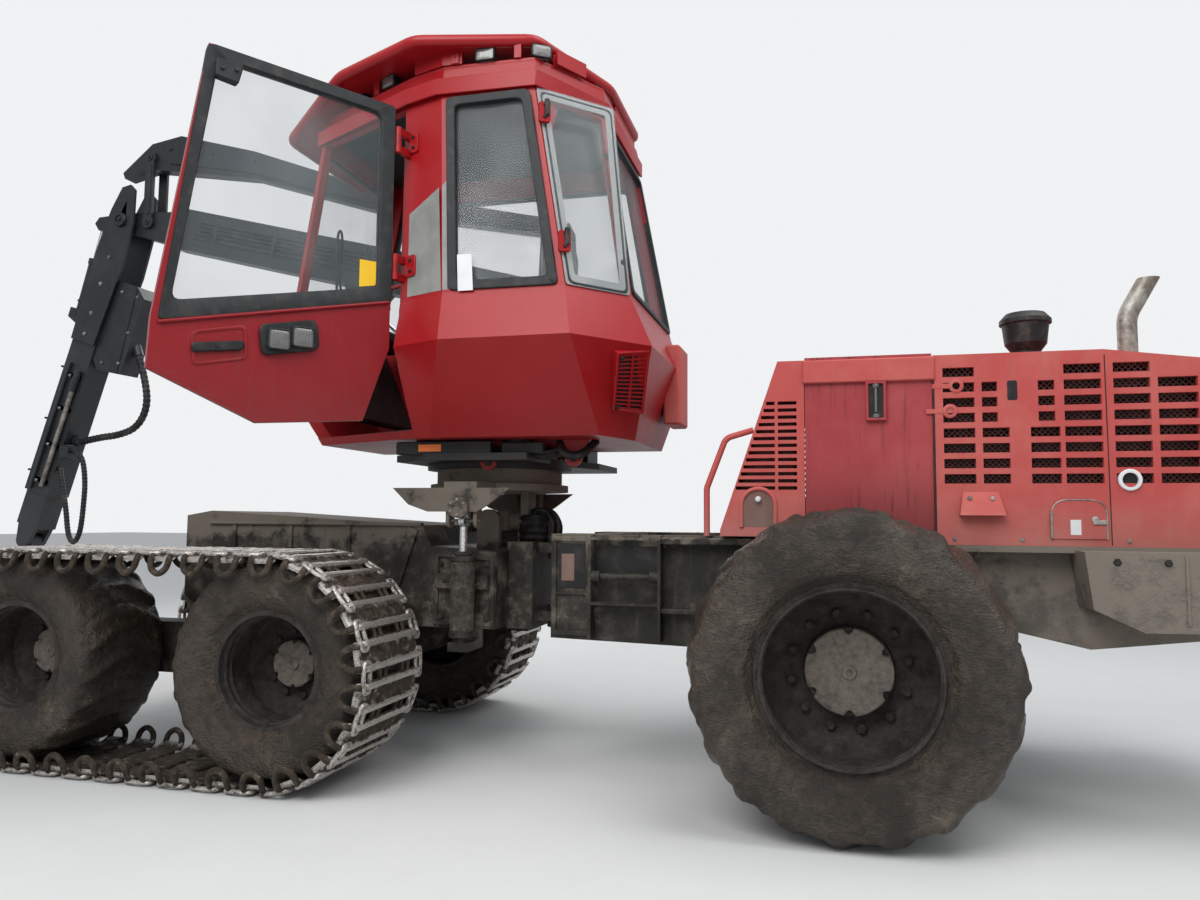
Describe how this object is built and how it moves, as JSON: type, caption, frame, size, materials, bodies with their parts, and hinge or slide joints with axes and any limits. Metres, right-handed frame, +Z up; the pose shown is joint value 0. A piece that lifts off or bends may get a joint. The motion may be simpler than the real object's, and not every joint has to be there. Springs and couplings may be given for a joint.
{
  "type": "forestry harvester",
  "caption": "Articulated six-wheeled forestry harvester with tracked bogie, levelling and slewing cab, parallel crane and harvester head.",
  "frame": {"origin": "on the ground under the middle of the rear axle", "axes": "+X forward, +Y to the machine's left, +Z up"},
  "size_m": [9.5766, 3.2706, 4.5],
  "materials": {
    "tyre_rubber": "caked with mud",
    "rim_steel": "muddy dark paint",
    "track_steel": "worn bright edges",
    "frame_paint": "dusty grey",
    "engine_iron": "rough",
    "hood_red": "faded",
    "tank_red": "stained",
    "cab_red": "satin",
    "cab_glass": "clear",
    "black_plastic": "matt",
    "exhaust_steel": "heat stained",
    "seat_fabric": "woven",
    "crane_black": "satin",
    "rod_chrome": "polished",
    "head_paint": "worn",
    "hose_rubber": "wrapped"
  },
  "bodies": {
    "rear_chassis": {"rear_frame": "frame_paint", "rear_axle": "frame_paint", "engine_block": "engine_iron", "hood": "hood_red", "front_cowl": "hood_red", "hydraulic_tank": "tank_red", "air_precleaner": "black_plastic", "exhaust_stack": "exhaust_steel", "grab_rails": "hood_red"},
    "filler_flap": {"filler_flap": "hood_red"},
    "rear_wheel_left": {"rear_tyre_left": "tyre_rubber", "rear_rim_left": "rim_steel"},
    "rear_wheel_right": {"rear_tyre_right": "tyre_rubber", "rear_rim_right": "rim_steel"},
    "front_chassis": {"front_frame": "frame_paint", "front_hitch": "frame_paint", "bogie_axle": "frame_paint", "bogie_rims": "rim_steel", "bogie_tyres": "tyre_rubber", "track_left": "track_steel", "track_right": "track_steel", "tilt_barrels": "frame_paint"},
    "tilt_cross": {"tilt_cross": "frame_paint"},
    "tilt_platform": {"tilt_platform": "frame_paint"},
    "tilt_rod_left": {"tilt_rod_left": "rod_chrome"},
    "tilt_rod_right": {"tilt_rod_right": "rod_chrome"},
    "upper_structure": {"slew_table": "frame_paint", "cab_tub": "cab_red", "cab_frame": "cab_red", "cab_glass": "cab_glass", "cab_roof": "cab_red", "operator_seat": "seat_fabric"},
    "cab_door": {"cab_door": "cab_red", "door_glass": "cab_glass"},
    "main_boom": {"main_boom": "crane_black"},
    "upper_link": {"upper_link": "crane_black"},
    "knee_link": {"knee_link": "crane_black"},
    "lift_barrel": {"lift_barrel": "crane_black"},
    "lift_rod": {"lift_rod": "rod_chrome"},
    "outer_boom": {"outer_boom": "crane_black", "boom_cheeks": "crane_black", "crane_hoses": "hose_rubber"},
    "jib_barrel": {"jib_barrel": "crane_black"},
    "jib_rod": {"jib_rod": "rod_chrome"},
    "extension_boom": {"extension_boom": "crane_black"},
    "tip_link": {"tip_link": "crane_black"},
    "head_hanger": {"head_hanger": "crane_black"},
    "head_frame": {"head_frame": "head_paint"},
    "feed_arm_left": {"feed_arm_left": "head_paint"},
    "feed_arm_right": {"feed_arm_right": "head_paint"},
    "knife_left": {"knife_left": "head_paint"},
    "knife_right": {"knife_right": "head_paint"}
  },
  "joints": [
    {"name": "rear_wheel_left_spin", "type": "hinge", "parent": "rear_chassis", "child": "rear_wheel_left", "pos_m": [0, 1.03, 0.718], "axis": [0, 1, 0], "continuous": true},
    {"name": "rear_wheel_right_spin", "type": "hinge", "parent": "rear_chassis", "child": "rear_wheel_right", "pos_m": [0, -1.03, 0.718], "axis": [0, 1, 0], "continuous": true},
    {"name": "steering", "type": "hinge", "parent": "rear_chassis", "child": "front_chassis", "pos_m": [1.65, 0, 1], "axis": [0, 0, -1], "range_deg": [-40, 40]},
    {"name": "filler_flap_hinge", "type": "hinge", "parent": "rear_chassis", "child": "filler_flap", "pos_m": [-0.925, 0.7113, 1.4], "axis": [0, 0, -1], "range_deg": [0, 110]},
    {"name": "level_pitch", "type": "hinge", "parent": "front_chassis", "child": "tilt_cross", "pos_m": [2.1, 0, 1.38], "axis": [0, 1, 0], "range_deg": [-10, 15]},
    {"name": "level_roll", "type": "hinge", "parent": "tilt_cross", "child": "tilt_platform", "pos_m": [2.1, 0, 1.38], "axis": [1, 0, 0], "range_deg": [-12, 12]},
    {"name": "tilt_rod_left_slide", "type": "slide", "parent": "front_chassis", "child": "tilt_rod_left", "axis": [0, 0, 1], "range_m": [-0.12217, 0.12217]},
    {"name": "tilt_rod_right_slide", "type": "slide", "parent": "front_chassis", "child": "tilt_rod_right", "axis": [0, 0, 1], "range_m": [-0.12217, 0.12217]},
    {"name": "slew", "type": "hinge", "parent": "tilt_platform", "child": "upper_structure", "pos_m": [2.1, 0, 1.69], "axis": [0, 0, 1], "range_deg": [-90, 90]},
    {"name": "cab_door_hinge", "type": "hinge", "parent": "upper_structure", "child": "cab_door", "pos_m": [2.345, 0.985, 3], "axis": [0, 0, 1], "range_deg": [-76.3, 20]},
    {"name": "main_boom_lift", "type": "hinge", "parent": "upper_structure", "child": "main_boom", "pos_m": [1.98, -0.75, 2.94], "axis": [0, -1, 0], "range_deg": [-18, 45]},
    {"name": "upper_link_hinge", "type": "hinge", "parent": "upper_structure", "child": "upper_link", "pos_m": [1.98, -0.75, 3.48], "axis": [0, -1, 0], "range_deg": [-18.5, 45.5]},
    {"name": "knee_link_hinge", "type": "hinge", "parent": "main_boom", "child": "knee_link", "pos_m": [5.473, -0.75, 3.795], "axis": [0, -1, 0], "range_deg": [-45.5, 18.5]},
    {"name": "lift_barrel_hinge", "type": "hinge", "parent": "upper_structure", "child": "lift_barrel", "pos_m": [2.33, -0.75, 1.99], "axis": [0, -1, 0], "range_deg": [-13.46, 32.9]},
    {"name": "lift_rod_slide", "type": "slide", "parent": "lift_barrel", "child": "lift_rod", "axis": [0.7651, 0, 0.644], "range_m": [-0.27186, 0.67666]},
    {"name": "outer_boom_swing", "type": "hinge", "parent": "main_boom", "child": "outer_boom", "pos_m": [5.69, -0.75, 3.812], "axis": [0, 1, 0], "range_deg": [-62, 10]},
    {"name": "jib_barrel_hinge", "type": "hinge", "parent": "outer_boom", "child": "jib_barrel", "pos_m": [6.17526, -0.75, 3.07721], "axis": [0, -1, 0], "range_deg": [-3.2, 17.24]},
    {"name": "jib_rod_slide", "type": "slide", "parent": "jib_barrel", "child": "jib_rod", "axis": [-0.2631, 0, 0.9648], "range_m": [-0.21279, 0.036]},
    {"name": "extension_slide", "type": "slide", "parent": "outer_boom", "child": "extension_boom", "axis": [0.314, 0, -0.9494], "range_m": [0, 1.2]},
    {"name": "tip_link_hinge", "type": "hinge", "parent": "extension_boom", "child": "tip_link", "pos_m": [6.55662, -0.75, 1.19159], "axis": [0, -1, 0], "range_deg": [-75, 25]},
    {"name": "rotator", "type": "hinge", "parent": "tip_link", "child": "head_hanger", "pos_m": [6.55662, -0.75, 0.83159], "axis": [0, 0, 1], "range_deg": [-170, 170]},
    {"name": "head_tilt", "type": "hinge", "parent": "head_hanger", "child": "head_frame", "pos_m": [6.55662, -0.75, 0.69859], "axis": [0, 1, 0], "range_deg": [0, 80]},
    {"name": "feed_arm_left_hinge", "type": "hinge", "parent": "head_frame", "child": "feed_arm_left", "pos_m": [6.55662, -0.56, 0.45], "axis": [1, 0, 0], "range_deg": [0, 35]},
    {"name": "feed_arm_right_hinge", "type": "hinge", "parent": "head_frame", "child": "feed_arm_right", "pos_m": [6.55662, -0.94, 0.45], "axis": [-1, 0, 0], "range_deg": [0, 36]},
    {"name": "knife_left_hinge", "type": "hinge", "parent": "head_frame", "child": "knife_left", "pos_m": [7.01662, -0.56, 0.45], "axis": [1, 0, 0], "range_deg": [0, 45]},
    {"name": "knife_right_hinge", "type": "hinge", "parent": "head_frame", "child": "knife_right", "pos_m": [7.01662, -0.94, 0.45], "axis": [-1, 0, 0], "range_deg": [0, 46]}
  ],
  "couplings": [
    {"joint": "tilt_rod_left_slide", "follows": "level_roll", "m_per_rad": 0.56},
    {"joint": "tilt_rod_right_slide", "follows": "level_roll", "m_per_rad": -0.56},
    {"joint": "upper_link_hinge", "follows": "main_boom_lift", "ratio": 1},
    {"joint": "knee_link_hinge", "follows": "main_boom_lift", "ratio": -1},
    {"joint": "lift_barrel_hinge", "follows": "main_boom_lift", "ratio": 0.72},
    {"joint": "lift_rod_slide", "follows": "main_boom_lift", "m_per_rad": 0.859},
    {"joint": "jib_barrel_hinge", "follows": "outer_boom_swing", "ratio": -0.27},
    {"joint": "jib_rod_slide", "follows": "outer_boom_swing", "m_per_rad": 0.1948},
    {"joint": "feed_arm_right_hinge", "follows": "feed_arm_left_hinge", "ratio": 1},
    {"joint": "knife_right_hinge", "follows": "knife_left_hinge", "ratio": 1}
  ]
}
